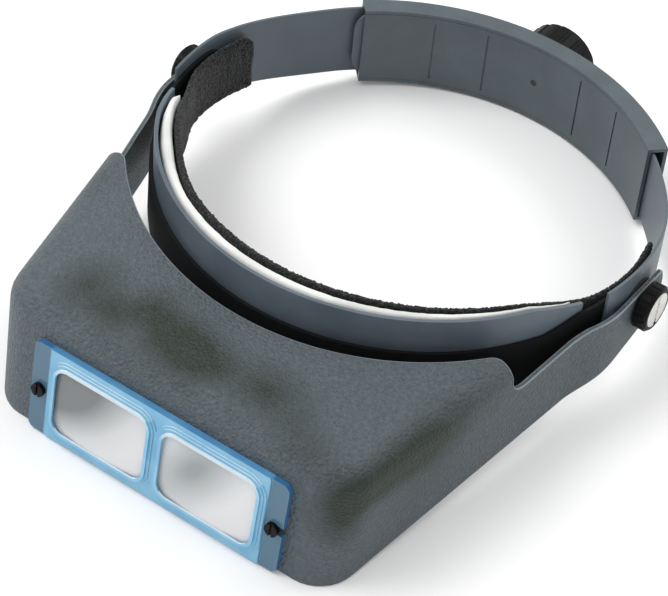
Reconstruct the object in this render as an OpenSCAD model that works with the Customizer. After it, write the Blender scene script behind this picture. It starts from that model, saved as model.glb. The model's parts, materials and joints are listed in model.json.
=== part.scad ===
// Headband magnifier: a moulded visor carries a plate with two lenses in front of the
// eyes. Its arms turn on a padded headband, and a knob at the back of the head draws
// two overlapping straps together. The headband is drawn level round the origin, with
// the wearer looking along -Y and the mid height of the rear housing at z = 0. Then
// the whole is tipped to stand on the visor's front rim and the rear housing.

/* [Headband] */
// Half the width of the space for the head, at the temples
head_half_w = 84.2; // [82:0.1:88]
// Depth of that space in front of the temples
head_front = 76.8; // [75:0.1:79]
// Depth of that space behind the temples
head_rear = 80; // [78:0.1:84]
// Radius of that space at the temples
head_side_r = 50; // [47:0.5:53]

/* [Brow pad] */
// Thickness of the sweatband at the temples
sweat_t = 1.6; // [1.4:0.1:2]
// Thickness of the sweatband at the brow
sweat_brow_t = 3; // [2:0.1:3.4]
// Top edge of the sweatband at the brow, above the band's mid height
sweat_top = 21.5; // [19:0.5:24]
// Top edge of the sweatband at the temples
sweat_temple_top = 15; // [13:0.5:17]
// Lower edge of the sweatband, below the band's mid height
sweat_low = 8; // [6:0.5:10]
// Length of the sweatband's ends behind the temples
sweat_back = 20; // [15:1:26]
// Thickness of the foam at the middle of the brow
foam_t = 5.4; // [4.6:0.1:6]
// Angle from the brow's middle to each end of the foam
foam_a = 70; // [64:1:71]
// Thickness of the trim band that covers the foam
trim_t = 1.4; // [1:0.1:1.8]
// Top edge of the trim band, above the band's mid height
trim_top = 22.5; // [20:0.5:25]
// Angle from the brow's middle to each end of the trim band
trim_a = 73; // [71.5:0.5:74.5]

/* [Carrier] */
// Thickness of the black carrier band
carrier_t = 1.1; // [0.9:0.1:1.4]
// Top edge of the carrier at the brow
carrier_top = 9; // [6:0.5:12]
// Lower edge of the carrier at the brow
carrier_low = 12; // [10:0.5:14]
// Half the carrier's height round the pivots
carrier_end_r = 10; // [8.5:0.5:11]

/* [Straps] */
// Thickness of each strap
strap_t = 1; // [0.9:0.1:1.2]
// Height of each strap
strap_h = 28; // [25:0.5:28.5]
// Reach of each strap in front of the temples
strap_front = 18; // [15:0.5:21]
// How far the inner strap's tip stands out of the housing
tip_out = 6; // [2:0.5:12]
// Radius of the strap's tip corners
tip_r = 8; // [4:0.5:11]

/* [Rear housing] */
// Half the width of the housing, straight across
housing_half_w = 58.8; // [54:0.2:64]
// Clearance between a strap's edges and the housing's walls
strap_play = 0.5; // [0.3:0.05:0.8]
// Thickness of the housing from front to back
housing_d = 7.2; // [7:0.1:8.5]
// Wall of the housing
housing_wall = 1.3; // [1:0.05:1.5]
// Places of the two outer score lines in the liner
score_out_x = 38; // [30:0.5:45]
// Places of the two inner score lines in the liner
score_in_x = 19.5; // [14:0.5:26]
// Part of the liner's height that a score line covers
score_part = 0.85; // [0.5:0.05:0.95]
// Radius of the flat boss under the knob
boss_r = 11; // [9:0.5:13]

/* [Adjuster] */
// Number of pinion teeth, an even number
pinion_teeth = 10; // [8:2:12]
// Tooth size: pitch diameter over the number of teeth
gear_module = 1; // [0.9:0.01:1.02]
// Radius of the pinion's axle
axle_r = 3; // [2.4:0.1:3.3]
// Radius of the rear knob
knob_r = 14; // [11:0.1:14.2]
// Thickness of the rear knob
knob_t = 11; // [9:0.5:12]
// Number of grooves round the rear knob
knob_grooves = 18; // [12:1:22]
// Strap travel toward a larger head
rack_out = 18; // [12:1:24]
// Strap travel toward a smaller head
rack_in = 10; // [6:1:16]

/* [Pivots] */
// Place of the pivots in front of the temples (negative is forward)
pivot_y = 0; // [-1:0.1:1]
// Height of the pivots above the band's mid height
pivot_z = 5; // [4:0.1:6]
// Radius of the pivot bolt
bolt_r = 2.4; // [2:0.1:2.8]
// Radius of the pivot bolt's flat head
bolt_head_r = 4.5; // [4:0.1:5.5]
// Thickness of the pivot bolt's flat head
bolt_head_t = 0.5; // [0.4:0.1:0.8]
// Wall of the bush that the arm turns on
bush_wall = 1.15; // [0.8:0.05:1.4]
// Radius of the friction washer
friction_r = 8; // [6.5:0.1:9]
// Radius of the pivot knob
pivot_knob_r = 8.2; // [7.5:0.1:9.5]
// Thickness of the pivot knob
pivot_knob_t = 4.8; // [4.6:0.1:6]
// Number of grooves round the pivot knob
pivot_knob_grooves = 16; // [10:1:20]

/* [Visor] */
// Wall of the visor
visor_t = 1.8; // [1.6:0.1:2.2]
// Distance from the temples to the front wall's lower rim
visor_reach = 137; // [132:0.5:142]
// Depth of that rim below the band's mid height
visor_drop = 35.5; // [33:0.5:38]
// Height of the front wall
visor_front_h = 44.6; // [42:0.1:47]
// Half the width of the front wall, to its sharp corners
visor_half_w = 66.4; // [64:0.1:68]
// Angle at which each side wall spreads to the rear
visor_splay = 10.9; // [10:0.1:11.3]
// Lean of the front wall, its top to the rear
front_lean = 6.6; // [5:0.1:8]
// Rise of the top panel to the rear
panel_rise = 5.5; // [4.5:0.1:6]
// Radius of the visor's soft edges
visor_edge_r = 8; // [6:0.5:9]
// Extra radius of the two front corners, seen from above
visor_corner_r = 6; // [3:0.5:8]
// Radius of the concave rear edge of the top panel
panel_edge_r = 96; // [95:0.1:97]
// Distance from the temples to the top panel's rear corners
panel_back = 62; // [60:0.5:66]
// Radius of each arm's round end
arm_end_r = 12.8; // [11:0.1:13.5]
// Height of each arm where it leaves the top panel
arm_neck_h = 24; // [20:0.5:25]
// Distance from the temples to the bend in the lower rim
rim_bend_y = 40; // [34:1:46]
// Depth of that bend below the band's mid height
rim_bend_z = 17; // [15.5:0.5:18]

/* [Lens plate] */
// Width of the lens plate
plate_w = 99; // [96.8:0.1:102]
// Height of the lens plate
plate_h = 35; // [34:0.1:36]
// Radius of the lens plate's outer corners
plate_corner_r = 2.5; // [1:0.5:3.5]
// Thickness of the plate's end flanges
flange_t = 2; // [1.6:0.1:2.4]
// Thickness of the raised middle part over the flanges
raised_t = 1.6; // [1.5:0.05:2]
// Width of the flange at each end of the raised middle part
flange_w = 6.7; // [6.5:0.1:7.2]
// Width of the bar between the two lens openings
lens_bar = 5.9; // [5.4:0.1:6.8]
// Distance from each lens opening to the raised part's side
lens_side = 3.5; // [3.3:0.1:4.3]
// Height of each lens opening
lens_h = 25.2; // [23:0.1:25.6]
// Distance of the lens centres below the plate's middle
lens_low = 0.2; // [0:0.1:0.8]
// Thickness of each lens
lens_t = 4.8; // [4:0.1:5.4]
// Radius of the lens's domed front
lens_dome_r = 150; // [140:1:220]
// Distance of each lens screw from the plate's end
screw_edge = 3.5; // [3.1:0.1:3.7]
// Radius of the lens screw's shank
screw_r = 1.35; // [1.2:0.05:1.5]
// Radius of the lens screw's head
screw_head_r = 2.4; // [2.1:0.05:2.6]
// Height of the lens screw's head
screw_head_t = 1.6; // [1.4:0.1:2]

/* [Hidden] */

// Clearances
layer_gap = 0.2;
strap_gap = 0.3;
run_gap = 0.05;
free_gap = 0.3;
big = 400;

// Head space: an oval of a front arc, a rear arc and two temple arcs
function arc_radius(e, depth, side_r) = (e * e + depth * depth - side_r * side_r) / (2 * (depth - side_r));
head_e = head_half_w - head_side_r;
head_front_r = arc_radius(head_e, head_front, head_side_r);
head_front_c = head_front_r - head_front;
head_rear_r = arc_radius(head_e, head_rear, head_side_r);
head_rear_c = head_rear - head_rear_r;

// Carrier path: the inner face of the carrier band
shell_half_w = head_half_w + sweat_t + layer_gap + bolt_head_t;
shell_front = head_front + sweat_brow_t + foam_t + trim_t + 3 * layer_gap;
shell_e = shell_half_w - head_side_r;
shell_r = arc_radius(shell_e, shell_front, head_side_r);
shell_c = shell_r - shell_front;

// Stack on each pivot, outward from the carrier
strap_x = shell_half_w + carrier_t + strap_gap;
friction_t = 0.4;
friction_x = strap_x + strap_t + 0.1;
arm_x = friction_x + friction_t + layer_gap;
arm_out_x = arm_x + visor_t;
wave_t = 0.4;
wave_x = arm_out_x + layer_gap;
pivot_knob_x = wave_x + wave_t + layer_gap;
bush_r = bolt_r + run_gap + bush_wall;

// Rear housing and the two strap layers in it, as depths behind the head space
housing_h = strap_h + 2 * (strap_play + housing_wall);
housing_a = asin(housing_half_w / head_rear_r);
inner_layer = housing_wall + 0.4;
outer_layer = housing_d - housing_wall - 0.4 - strap_t;
pinion_low = housing_wall + free_gap;
pinion_high = housing_d - housing_wall - free_gap;
pitch_r = gear_module * pinion_teeth / 2;
tip_r_gear = pitch_r + gear_module;
root_r_gear = pitch_r - 1.25 * gear_module;
boss_t = 1;
boss_y = head_rear + housing_d + boss_t;
knob_washer_t = 0.5;
knob_y = boss_y + knob_washer_t + 2 * layer_gap;

// Visor planes: the front wall leans and the top panel rises
lean = tan(front_lean);
rise = tan(panel_rise);
front_top_y = -visor_reach + visor_front_h * lean;
front_top_z = visor_front_h - visor_drop;
splay = tan(visor_splay);
function front_y(z) = -visor_reach + (z + visor_drop) * lean;
function panel_z(y) = front_top_z + (y - front_top_y) * rise;
function wall_x(y) = visor_half_w + (y + visor_reach) * splay;

// Balls that round the visor's edges touch the panel plane, and the first of them the front plane
ball_drop = visor_edge_r / cos(panel_rise);
ball_in = (visor_edge_r / cos(front_lean) - lean * ball_drop) / (1 - lean * rise);
ball_y = front_top_y + ball_in + visor_corner_r;

// Each arm leaves its side wall, sweeps outward and ends flat beside the headband
arm_root_y = -36;
arm_flat_y = -13;
function smooth(t) = t <= 0 ? 0 : t >= 1 ? 1 : t * t * (3 - 2 * t);
function arm_out(y) =
    wall_x(y) + (arm_out_x - wall_x(y)) * smooth((y - arm_root_y) / (arm_flat_y - arm_root_y));

// Lower rim of the visor, and the upper edge of its arms
rim_slope = (visor_drop - rim_bend_z) / (visor_reach - rim_bend_y);
arm_low_z = pivot_z - arm_end_r;
arm_top_z = pivot_z + arm_end_r;
neck_z = -rim_bend_z - (panel_back - rim_bend_y) * rim_slope + arm_neck_h;

// Stance: the floor touches the visor's front rim and the housing's lower edge
rear_foot_y = head_rear + housing_d;
stand_a = atan((visor_drop - housing_h / 2) / (visor_reach + rear_foot_y));
function stood_y(y, z) = y * cos(stand_a) + z * sin(stand_a);
function stood_z(y, z) = z * cos(stand_a) - y * sin(stand_a);
plate_up = 0.4;
plate_front_y = -visor_reach - (flange_t + raised_t) * cos(front_lean) + plate_up * sin(front_lean);
plate_front_z = -visor_drop - (flange_t + raised_t) * sin(front_lean) + plate_up * cos(front_lean);
stand_y = -(stood_y(plate_front_y, plate_front_z) + stood_y(knob_y + knob_t, knob_r)) / 2;
stand_z = -stood_z(-visor_reach, -visor_drop);

// Lens plate, in a frame that lies on the front wall
plate_mid = plate_up + plate_h / 2;
raised_half_w = plate_w / 2 - flange_w;
screw_x = plate_w / 2 - screw_edge;
lens_w = raised_half_w - lens_side - lens_bar / 2;
lens_x = (lens_bar + lens_w) / 2;
lens_mid = plate_mid - lens_low;
screw_up = plate_mid - 0.6;
plate_t = flange_t + raised_t;
lens_lip = 0.7;
lens_rim = 0.7;
lens_corner_r = 4.5;
collar_wall = 1;
centre_level = 0.25;
step_margin = [1.1, 2.2, 3.2];
step_level = [1, 0.65, 0.45];
collar_back = 3;
insert_r = 2.6;
insert_len = 4;
insert_wall = 1.6;

module stand() {
    translate([0, stand_y, stand_z]) rotate([-stand_a, 0, 0]) children();
}

// Local frame on the front wall: x across, z up the wall, -y outward
module on_front() {
    translate([0, -visor_reach, -visor_drop]) rotate([-front_lean, 0, 0]) children();
}

// Local frame on a pivot: z runs outward along the pivot's axis
module on_pivot(side, out) {
    translate([side * out, pivot_y, pivot_z]) rotate([0, side * 90, 0]) children();
}

// Local frame at the middle of the housing: z runs backward along the knob's axis
module on_knob(back) {
    translate([0, back, 0]) rotate([-90, 0, 0]) children();
}

// Bends a flat section, drawn as radius and height, round an upright axis
module bend(centre_y, from_a, to_a) {
    translate([0, centre_y, 0]) rotate([0, 0, from_a])
        rotate_extrude(angle = to_a - from_a, $fn = 180) children();
}

// A flat side view, drawn as y and z, made wide enough to cut through everything
module across() {
    rotate([90, 0, 90]) linear_extrude(2 * big, center = true) children();
}

module bar(w, h) {
    translate([-w / 2, -h / 2]) square([w, h]);
}

module round_bar(w, h, r) {
    bar(w - 2 * r, h);
    bar(w, h - 2 * r);
    for (x = [r - w / 2, w / 2 - r], y = [r - h / 2, h / 2 - r]) translate([x, y]) circle(r, $fn = 48);
}

module round_block(w, h, r, back, front) {
    rotate([90, 0, 0]) translate([0, 0, -back]) linear_extrude(back + front) round_bar(w, h, r);
}

module ring(outer, inner, t) {
    difference() {
        cylinder(r = outer, h = t, $fn = 64);
        translate([0, 0, -1]) cylinder(r = inner, h = t + 2, $fn = 64);
    }
}

// Knob with grooves round its rim and a shallow seat for its cap
module grooved_knob(r, t, grooves, groove_r, seat_r, seat_t) {
    difference() {
        union() {
            cylinder(r = r, h = t - 1, $fn = 96);
            translate([0, 0, t - 1]) cylinder(r1 = r, r2 = r - 1, h = 1, $fn = 96);
        }
        for (i = [0 : grooves - 1]) rotate([0, 0, i * 360 / grooves])
            translate([r + groove_r / 2, 0, 0.8]) cylinder(r = groove_r, h = t, $fn = 24);
        translate([0, 0, t - seat_t]) cylinder(r = seat_r, h = seat_t + 1, $fn = 64);
    }
}

module visor_solid(ball_r, back, below) {
    hull() for (side = [-1, 1]) {
        for (a = [-90 : 25 : -90 + 75]) {
            top = [wall_x(ball_y) - (visor_edge_r + visor_corner_r) / cos(visor_splay), ball_y];
            turn = [cos(a), sin(a)] * visor_corner_r;
            low_y = front_y(-below) + visor_edge_r / cos(front_lean) + visor_corner_r;
            top_z = panel_z(top.y + turn.y) - ball_drop;
            translate([side * (top.x + turn.x), top.y + turn.y, top_z]) sphere(ball_r, $fn = 24);
            translate([side * (top.x + (low_y - top.y) * splay + turn.x), low_y + turn.y, -below])
                sphere(ball_r, $fn = 24);
        }
        rear_x = wall_x(back) - visor_edge_r / cos(visor_splay);
        translate([side * rear_x, back, panel_z(back) - ball_drop]) sphere(ball_r, $fn = 24);
        translate([side * rear_x, back, -below]) sphere(ball_r, $fn = 24);
    }
}

// What is cut off below the visor's rim, seen from the side
module under_rim() {
    heel_y = front_y(-visor_drop) + 3 * visor_t;
    foot = tan(stand_a);
    polygon([[-2 * visor_reach, -big], [-2 * visor_reach, -visor_drop - visor_reach * foot],
        [heel_y, -visor_drop + (heel_y + visor_reach) * foot], [-rim_bend_y, -rim_bend_z],
        [pivot_y, arm_low_z], [big, arm_low_z], [big, -big]]);
}

// What is cut off above the arms and behind the top panel, seen from the side
module over_arms() {
    fillet = 5;
    slope = atan2(arm_top_z - neck_z, panel_back + pivot_y);
    turn = 90 + slope;
    corner = [-panel_back, neck_z];
    reach = fillet / tan(turn / 2 - slope);
    centre = [corner.x + fillet, corner.y + fillet * tan(slope) + fillet / cos(slope)];
    polygon(concat([[-panel_back, big]],
        [for (i = [0 : 6]) centre + fillet * [cos(180 + i * turn / 6), sin(180 + i * turn / 6)]],
        [[pivot_y, arm_top_z], [big, arm_top_z], [big, big]]));
}

module visor_shell() {
    difference() {
        visor_solid(visor_edge_r, 20, visor_drop + 30);
        visor_solid(visor_edge_r - visor_t, 60, visor_drop + 60);
        translate([-big / 2, arm_root_y, -big / 2]) cube(big);
        across() under_rim();
        across() over_arms();
        intersection() {
            cylinder(r = panel_edge_r, h = big, $fn = 180);
            panel_cut_x = sqrt(panel_edge_r * panel_edge_r - panel_back * panel_back);
            translate([-panel_cut_x, -big, 0]) cube([2 * panel_cut_x, big, big]);
        }
    }
}

// Upright outline of an arm seen from the side, with its round end
module arm_side() {
    back = arm_root_y - 0.3;
    neck = (arm_top_z - neck_z) / (panel_back + pivot_y);
    rim = (arm_low_z + rim_bend_z) / (rim_bend_y + pivot_y);
    polygon(concat([[back, -rim_bend_z + (rim_bend_y + back) * rim]],
        arc([pivot_y, pivot_z], arm_end_r, -90 + atan(rim), 90 + atan(neck), 32),
        [[back, neck_z + (back + panel_back) * neck]]));
}

module arm(side) {
    steps = 16;
    line = [for (i = [0 : steps]) arm_root_y - 0.3 + i * (arm_flat_y - arm_root_y + 0.3) / steps];
    thick = visor_t / cos(visor_splay);
    far = pivot_y + arm_end_r + 5;
    mirror([side > 0 ? 0 : 1, 0, 0]) intersection() {
        translate([0, 0, -big / 2]) linear_extrude(big)
            polygon(concat([for (y = line) [arm_out(y), y]], [[arm_out_x, far], [arm_x, far]],
                [for (i = [steps : -1 : 0]) [arm_out(line[i]) - thick, line[i]]]));
        across() arm_side();
    }
}

module visor() {
    color("slategray") stand() difference() {
        union() {
            visor_shell();
            arm(1);
            arm(-1);
            on_front() for (x = [-screw_x, screw_x]) translate([x, visor_t / 2, screw_up])
                rotate([-90, 0, 0])
                    cylinder(r = insert_r + insert_wall, h = insert_len + visor_t / 2, $fn = 48);
        }
        on_front() translate([0, 0, lens_mid]) round_block(2 * raised_half_w - 2.6, lens_h + 4, 3, 12, 5);
        on_front() for (x = [-screw_x, screw_x]) {
            translate([x, -5, screw_up]) rotate([-90, 0, 0])
                cylinder(r = screw_r + 0.3, h = 20, $fn = 32);
            translate([x, visor_t, screw_up]) rotate([-90, 0, 0])
                cylinder(r = insert_r + run_gap, h = insert_len + 5, $fn = 48);
        }
        for (side = [-1, 1]) on_pivot(side, arm_x - 2)
            cylinder(r = bush_r + run_gap, h = visor_t + 4, $fn = 64);
    }
}

// Plate of clear blue plastic: flanges, thicker middle, three steps up to each lens, collars behind
module lens_plate() {
    color("cornflowerblue", 0.6) stand() on_front() difference() {
        union() {
            translate([0, 0, plate_mid]) round_block(plate_w, plate_h, plate_corner_r, 0, flange_t);
            translate([0, 0, plate_mid])
                round_block(2 * raised_half_w, plate_h, 1, 0, flange_t + centre_level * raised_t);
            for (x = [-lens_x, lens_x]) translate([x, 0, lens_mid]) {
                for (i = [0 : 2])
                    round_block(lens_w + 2 * step_margin[i], lens_h + 2 * step_margin[i],
                        lens_corner_r + step_margin[i], 0, flange_t + step_level[i] * raised_t);
                round_block(lens_w + 2 * (lens_lip + collar_wall), lens_h + 2 * (lens_lip + collar_wall),
                    lens_corner_r + collar_wall, collar_back, 0.5);
            }
        }
        for (x = [-lens_x, lens_x]) translate([x, 0, lens_mid]) {
            round_block(lens_w, lens_h, lens_corner_r, 10, 10);
            round_block(lens_w + 2 * lens_lip, lens_h + 2 * lens_lip, lens_corner_r + lens_lip / 2, 10,
                plate_t - lens_rim);
        }
        for (x = [-screw_x, screw_x]) translate([x, 5, screw_up]) rotate([90, 0, 0])
            cylinder(r = screw_r + 0.3, h = 20, $fn = 32);
        translate([screw_x, -10, screw_up - screw_r - 0.3]) cube([plate_w, 20, 2 * (screw_r + 0.3)]);
    }
}

// Glass lens: a rim held behind the plate's lip, a domed front that fills the opening
module lens(x) {
    clear = 0.1;
    seat = plate_t - lens_rim - clear;
    color("whitesmoke", 0.4) stand() on_front() translate([x, 0, lens_mid]) intersection() {
        union() {
            round_block(lens_w + 2 * (lens_lip - clear), lens_h + 2 * (lens_lip - clear),
                lens_corner_r + lens_lip / 2, lens_t - seat, seat);
            round_block(lens_w - 2 * clear, lens_h - 2 * clear, lens_corner_r - clear, 0, plate_t);
        }
        translate([0, lens_dome_r - plate_t + clear, 0]) sphere(lens_dome_r, $fn = 180);
    }
}

module lens_left() { lens(lens_x); }

module lens_right() { lens(-lens_x); }

module lens_screw(x) {
    head_y = -flange_t - 0.1;
    slot_w = 0.7;
    slot_d = 0.7;
    color("dimgray") stand() on_front() translate([x, 0, screw_up]) difference() {
        rotate([90, 0, 0]) union() {
            translate([0, 0, 0.5 - visor_t - insert_len])
                cylinder(r = screw_r, h = visor_t + insert_len + flange_t, $fn = 32);
            translate([0, 0, -head_y]) cylinder(r = screw_head_r, h = screw_head_t, $fn = 48);
        }
        translate([-slot_w / 2, head_y - screw_head_t - 1, -5]) cube([slot_w, 1 + slot_d, 10]);
    }
}

module lens_screw_left() { lens_screw(screw_x); }

module lens_screw_right() { lens_screw(-screw_x); }

module lens_inserts() {
    color("goldenrod") stand() on_front() for (x = [-screw_x, screw_x])
        translate([x, visor_t, screw_up]) rotate([-90, 0, 0])
            ring(insert_r, screw_r + run_gap, insert_len);
}

// Points of an arc, anticlockwise from one angle to another
function arc(c, r, from_a, to_a, n) = [for (i = [0 : n]) c + r * [cos(from_a + (to_a - from_a) * i / n),
    sin(from_a + (to_a - from_a) * i / n)]];

// Upright outline of the carrier seen from the side: low at the brow, round at the pivots
module carrier_side() {
    front = -shell_front - 10;
    step_y = -28;
    polygon(concat([[step_y, -carrier_low + 5]], arc([pivot_y, pivot_z], carrier_end_r, -90, 90, 24),
        [[step_y, pivot_z + carrier_end_r], [step_y - 12, carrier_top + 2], [front, carrier_top],
        [front, -carrier_low]]));
}

module carrier_band() {
    color("dimgray") stand() difference() {
        intersection() {
            bend(shell_c, -190, 10) translate([shell_r, -carrier_low - 5]) square([carrier_t, 60]);
            across() carrier_side();
        }
        for (side = [-1, 1]) {
            on_pivot(side, shell_half_w - 3) cylinder(r = bolt_r + run_gap, h = 8, $fn = 48);
            rivet_line(side) translate([0, 0, -3]) cylinder(r = rivet_r + run_gap, h = 8, $fn = 32);
        }
    }
}

// Side view of the trim band, and of the foam that ends lower behind it: both taper to their ends
trim_low = sweat_low - 1;
trim_end_y = 1 - cos(trim_a) * shell_r;
module trim_side(top) {
    polygon([[-2 * shell_front, -trim_low], [-2 * shell_front, top], [-shell_front / 2, top],
        [trim_end_y, top - 5], [trim_end_y, top - 15], [trim_end_y - 11, -trim_low]]);
}

module trim_band() {
    color("slategray") stand() intersection() {
        bend(shell_c, -90 - trim_a, -90 + trim_a) translate([shell_r - layer_gap - trim_t, -trim_low])
            square([trim_t, trim_top + trim_low]);
        across() trim_side(trim_top);
    }
}

module brow_foam() {
    color("white") stand() intersection() {
        translate([0, 0, -trim_low]) linear_extrude(trim_top + trim_low) difference() {
            translate([0, shell_c]) circle(shell_r - 2 * layer_gap - trim_t, $fn = 180);
            polygon([for (a = [-180 : 3 : 0]) polar(sweat_rho(a) + layer_gap, a)]);
            for (side = [-1, 1]) rotate(side * foam_a)
                translate([side > 0 ? 0 : -big, -big]) square([big, 2 * big]);
            translate([-big, 0]) square([2 * big, big]);
        }
        across() trim_side(trim_top - 1);
    }
}

// Polar radius of an oval, for an angle from the +X axis, at an offset outside it
function circle_rho(c, r, a) = c * sin(a) + sqrt(r * r - pow(c * cos(a), 2));
function side_rho(e, r, a) = e * cos(a) + sqrt(r * r - pow(e * sin(a), 2));
function joint_a(e, c, r) = atan2(c - r * c / norm([e, c]), r * e / norm([e, c]));
function polar(rho, a) = rho * [cos(a), sin(a)];

// Head space outline over the brow and past the temples, for angles from -90 to 90
function head_rho(a, off) =
    a < joint_a(head_e, head_front_c, head_front_r) ? circle_rho(head_front_c, head_front_r + off, a)
    : a < joint_a(head_e, head_rear_c, head_rear_r) ? side_rho(head_e, head_side_r + off, a)
    : circle_rho(head_rear_c, head_rear_r + off, a);

function both_rho(a, off) = head_rho(a < -90 ? -180 - a : a, off);
function sweat_rho(a) = both_rho(a, sweat_t + (sweat_brow_t - sweat_t) * pow(max(0, -sin(a)), 2));

module sweatband() {
    end_a = asin((sweat_back + 2) / head_half_w);
    steps = 64;
    line = [for (i = [-steps : steps]) -90 + i * (90 + end_a) / steps];
    corner = 6;
    color("black") stand() intersection() {
        translate([0, 0, -sweat_low]) linear_extrude(sweat_top + sweat_low)
            polygon(concat([for (a = line) polar(both_rho(a, 0), a)],
                [for (i = [2 * steps : -1 : 0]) polar(sweat_rho(line[i]), line[i])]));
        across() polygon(concat([[-big, -sweat_low], [sweat_back, -sweat_low]],
            arc([sweat_back - corner, sweat_temple_top - corner], corner, 0, 90, 8),
            [[-head_front * 0.2, sweat_temple_top], [-head_front * 0.6, sweat_top], [-big, sweat_top]]));
    }
}

// Inner face of a strap from the temple to its tip: round the carrier, then into its layer
strap_side_r = head_side_r + carrier_t + strap_gap;
strap_front_r = shell_r + carrier_t + strap_gap;
enter_a = 90 - housing_a;
ease_a = 24;
function outside_rho(a) =
    a < joint_a(shell_e, shell_c, strap_front_r) ? circle_rho(shell_c, strap_front_r, a)
    : side_rho(shell_e, strap_side_r, a);
function layer_rho(a, layer) = circle_rho(head_rear_c, head_rear_r + layer, a);
function strap_rho(a, layer) = a < 8 ? outside_rho(a)
    : outside_rho(8) + (layer_rho(8, layer) - outside_rho(8)) * smooth((a - 8) / (enter_a - 10))
        + (layer_rho(a, layer) - layer_rho(8, layer));

// Rack teeth along one edge of a slot, on the strap's layer
module strap_slot(layer, toothed) {
    mid_r = head_rear_r + layer + strap_t / 2;
    pitch_a = gear_module * 180 / mid_r;
    in_a = (rack_in + 1.5 * tip_r_gear) / mid_r * 180 / PI;
    out_a = (rack_out + 1.5 * tip_r_gear) / mid_r * 180 / PI;
    pitch_z = pitch_r + 0.1;
    root_z = pitch_z + 1.25 * gear_module;
    tip_z = pitch_z - gear_module;
    r0 = head_rear_r + layer - 2;
    mirror([0, 0, toothed > 0 ? 0 : 1]) {
        bend(head_rear_c, 90 - in_a, 90 + out_a) translate([r0, -tip_r_gear - 0.4])
            square([strap_t + 4, tip_r_gear + 0.4 + tip_z]);
        for (i = [-ceil(in_a / pitch_a) + 1 : ceil(out_a / pitch_a) - 1])
            translate([0, head_rear_c, 0]) rotate([0, 0, i * pitch_a]) translate([0, r0, 0])
                rotate([-90, 0, 0]) linear_extrude(strap_t + 4)
                    polygon([[-gear_module * 1.2, 0.01 - tip_z], [gear_module * 1.2, 0.01 - tip_z],
                        [gear_module * 0.45, -root_z], [-gear_module * 0.45, -root_z]]);
    }
}

// The strap on the wearer's left, and the right one as its mirror image
rise_from = head_rear * 0.62;
rise_to = 4;
strap_rise = 5;
module strap(layer, tip_a, toothed) {
    front_a = -asin(strap_front / strap_x);
    steps = 72;
    line = [for (i = [0 : steps]) front_a + i * (tip_a - front_a) / steps];
    tip_len = tip_r / (head_rear_r + layer) * 180 / PI;
    low = pivot_z - carrier_end_r - 2;
    difference() {
        translate([0, 0, -strap_h / 2]) linear_extrude(strap_h + strap_rise)
            polygon(concat([for (a = line) polar(strap_rho(a, layer), a)],
                [for (i = [steps : -1 : 0]) polar(strap_rho(line[i], layer) + strap_t, line[i])]));
        // Round corners at the tip
        for (z = [-1, 1]) translate([0, head_rear_c, 0]) rotate([0, 0, tip_a - 90 - tip_len]) difference() {
            translate([-20, head_rear_r - 3, z > 0 ? strap_h / 2 - tip_r : -strap_h / 2 - 1])
                cube([20, 20, tip_r + 1]);
            translate([0, head_rear_r - 4, z * (strap_h / 2 - tip_r)]) rotate([-90, 0, 0])
                cylinder(r = tip_r, h = 30, $fn = 64);
        }
        // Upper and lower edges climb from the housing to the temple
        across() polygon([[big, strap_h / 2], [rise_from, strap_h / 2], [rise_to, strap_h / 2 + strap_rise],
            [-big, strap_h / 2 + strap_rise], [-big, big], [big, big]]);
        across() polygon([[big, -strap_h / 2], [rise_from, -strap_h / 2], [rise_to, low], [-big, low],
            [-big, -big], [big, -big]]);
        strap_slot(layer, toothed);
        on_pivot(1, shell_half_w - 3) cylinder(r = bolt_r + 0.2, h = 12, $fn = 48);
        rivet_line(1) translate([0, 0, -3]) cylinder(r = rivet_r + run_gap, h = 8, $fn = 32);
    }
}

module strap_left() {
    tip_a = tip_out / head_rear_r * 180 / PI;
    color("slategray") stand() strap(inner_layer, 90 + housing_a + tip_a, 1);
}

module strap_right() {
    color("slategray") stand() mirror([1, 0, 0]) strap(outer_layer, 90 + housing_a - 6, -1);
}

// Rivets that hold each strap to the carrier, in front of the pivot
rivet_r = 1.4;
rivet_head_r = 2.5;
rivet_head_t = 0.6;
rivet_y = -12;
module rivet_line(side) {
    a = asin(rivet_y / shell_r);
    translate([0, shell_c, pivot_z]) rotate([0, 0, side > 0 ? a : 180 - a]) translate([shell_r, 0, 0])
        rotate([0, 90, 0]) children();
}

module strap_rivets() {
    through = carrier_t + strap_gap + strap_t + 0.2;
    color("silver") stand() for (side = [-1, 1]) rivet_line(side) union() {
        translate([0, 0, -rivet_head_t - 0.1]) cylinder(r = rivet_head_r, h = rivet_head_t, $fn = 48);
        translate([0, 0, -0.2]) cylinder(r = rivet_r, h = through + 0.3, $fn = 32);
        translate([0, 0, through]) cylinder(r = rivet_head_r, h = rivet_head_t, $fn = 48);
    }
}

module pivot_bolts() {
    head_x = shell_half_w - bolt_head_t - 0.15;
    color("silver") stand() for (side = [-1, 1]) on_pivot(side, head_x) union() {
        cylinder(r = bolt_head_r, h = bolt_head_t, $fn = 64);
        cylinder(r = bolt_r, h = pivot_knob_x - head_x + pivot_knob_t - 1.8, $fn = 48);
    }
}

module pivot_bushes() {
    color("silver") stand() for (side = [-1, 1]) on_pivot(side, friction_x)
        ring(bush_r, bolt_r + run_gap, wave_x - friction_x - 0.1);
}

module friction_washers() {
    color("black") stand() for (side = [-1, 1]) on_pivot(side, friction_x)
        ring(friction_r, bush_r + 0.1, friction_t);
}

module wave_washers() {
    color("silver") stand() for (side = [-1, 1]) on_pivot(side, wave_x)
        ring(friction_r - 2, bolt_r + run_gap, wave_t);
}

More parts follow.
